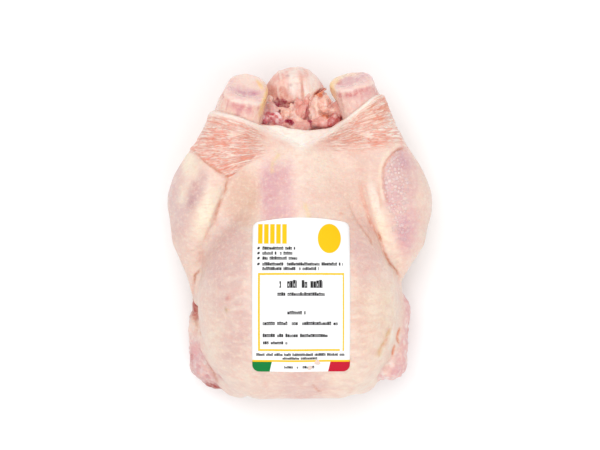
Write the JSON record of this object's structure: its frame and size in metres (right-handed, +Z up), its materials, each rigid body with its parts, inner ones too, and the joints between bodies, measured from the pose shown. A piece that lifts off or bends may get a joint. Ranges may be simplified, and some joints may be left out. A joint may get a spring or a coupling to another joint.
{
  "type": "whole raw chicken",
  "caption": "Plucked and drawn raw chicken lying on its back, legs drawn up, wings folded under, vent open at the tail, with a paper label on the breast.",
  "frame": {"origin": "centre of the bounding box in plan, on the plane that the back rests on", "axes": "+Z up through the breast, +Y towards the tail, +X to the right of the bird as seen from above with the tail away from the viewer"},
  "size_m": [0.2004, 0.251, 0.1009],
  "materials": {
    "skin": "damp satin",
    "label_paper": "satin"
  },
  "bodies": {
    "root": {"chicken": "skin", "label": "label_paper"}
  },
  "joints": []
}
